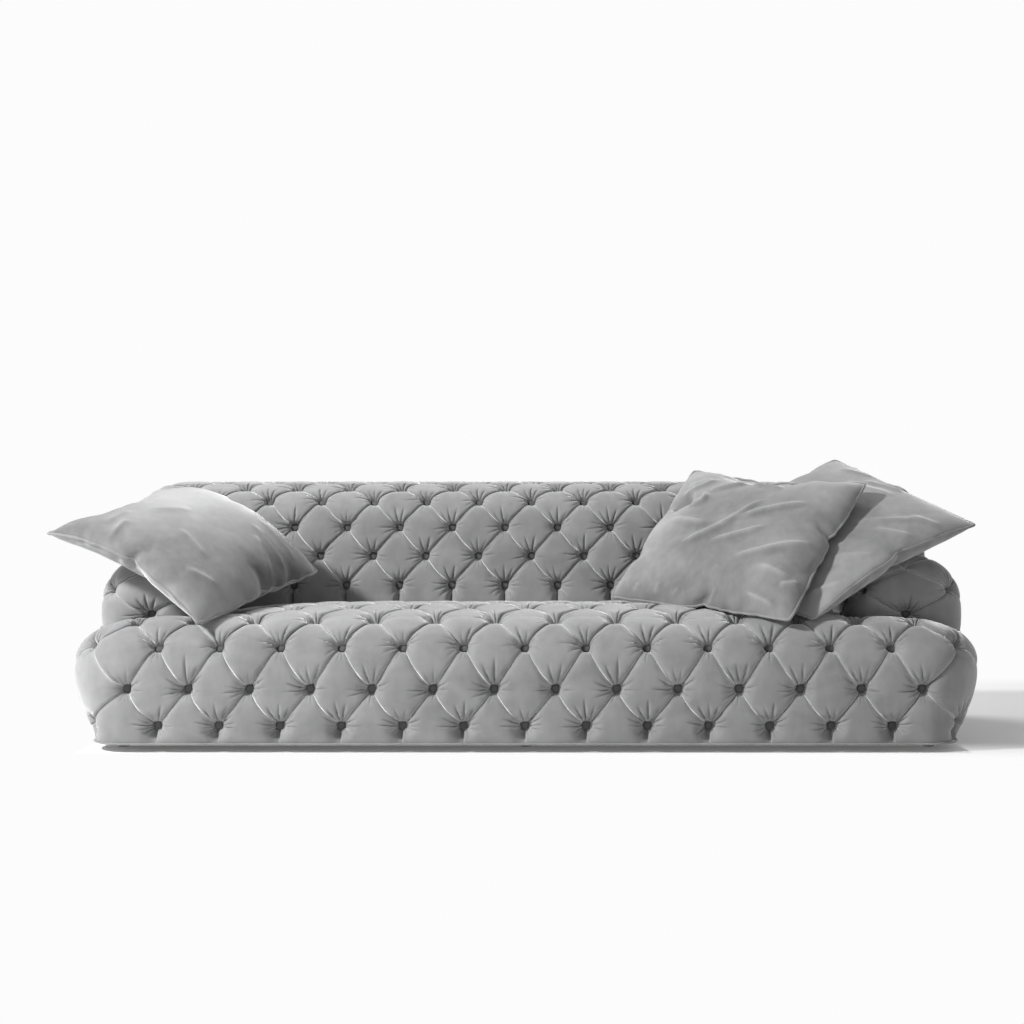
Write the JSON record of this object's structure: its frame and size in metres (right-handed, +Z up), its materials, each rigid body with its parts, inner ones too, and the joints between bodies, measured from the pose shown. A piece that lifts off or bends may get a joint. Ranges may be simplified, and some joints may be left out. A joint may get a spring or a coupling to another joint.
{
  "type": "button-tufted sofa",
  "caption": "Long low sofa, deep button-tufted all over in grey velvet, with rounded arms, an upright back and loose square scatter cushions lying on its arms.",
  "frame": {"origin": "on the floor, under the middle of the centre glide, at the middle of the frame", "axes": "+X along the sofa towards its right end as seen from the front, +Y from the front to the back, +Z up"},
  "size_m": [2.8384, 1.0896, 0.872],
  "materials": {
    "velvet": "soft velvet pile",
    "cushion_velvet": "soft velvet pile",
    "timber": "planed, unfinished",
    "foam": "open-cell foam",
    "webbing": "woven",
    "dust_cloth": "non-woven",
    "plastic": "satin",
    "steel": "zinc plated"
  },
  "bodies": {
    "root": {"base_cover": "velvet", "back_cover": "velvet", "left_arm_cover": "velvet", "right_arm_cover": "velvet", "front_rail": "timber", "rear_rail": "timber", "left_rail": "timber", "right_rail": "timber", "cross_rail_1": "timber", "cross_rail_2": "timber", "cross_rail_3": "timber", "front_left_corner_block": "timber", "front_right_corner_block": "timber", "rear_left_corner_block": "timber", "rear_right_corner_block": "timber", "back_post_1": "timber", "back_post_2": "timber", "back_post_3": "timber", "back_post_4": "timber", "back_top_rail": "timber", "left_arm_front_post": "timber", "left_arm_rear_post": "timber", "right_arm_front_post": "timber", "right_arm_rear_post": "timber", "left_arm_board": "timber", "right_arm_board": "timber", "seat_foam": "foam", "back_foam": "foam", "left_arm_foam": "foam", "right_arm_foam": "foam", "seat_strap_1": "webbing", "seat_strap_2": "webbing", "seat_strap_3": "webbing", "seat_strap_4": "webbing", "seat_strap_5": "webbing", "seat_strap_6": "webbing", "seat_strap_7": "webbing", "dust_cover": "dust_cloth", "centre_glide": "plastic", "front_left_glide": "plastic", "front_middle_glide": "plastic", "front_right_glide": "plastic", "rear_left_glide": "plastic", "rear_middle_glide": "plastic", "rear_right_glide": "plastic", "back_post_1_bolt": "steel", "back_post_2_bolt": "steel", "back_post_3_bolt": "steel", "back_post_4_bolt": "steel", "left_arm_front_post_bolt": "steel", "left_arm_rear_post_bolt": "steel", "right_arm_front_post_bolt": "steel", "right_arm_rear_post_bolt": "steel"},
    "left_cushion": {"left_cushion": "cushion_velvet"},
    "right_rear_cushion": {"right_rear_cushion": "cushion_velvet"},
    "right_front_cushion": {"right_front_cushion": "cushion_velvet"}
  },
  "joints": [
    {"name": "left_cushion_lift", "type": "slide", "parent": "root", "child": "left_cushion", "axis": [0, 0, 1], "range_m": [0, 0.45]},
    {"name": "right_front_cushion_lift", "type": "slide", "parent": "root", "child": "right_front_cushion", "axis": [0, 0, 1], "range_m": [0, 0.45]},
    {"name": "right_rear_cushion_draw", "type": "slide", "parent": "root", "child": "right_rear_cushion", "axis": [0.5997, 0.5997, 0.5299], "range_m": [0, 0.35]}
  ]
}
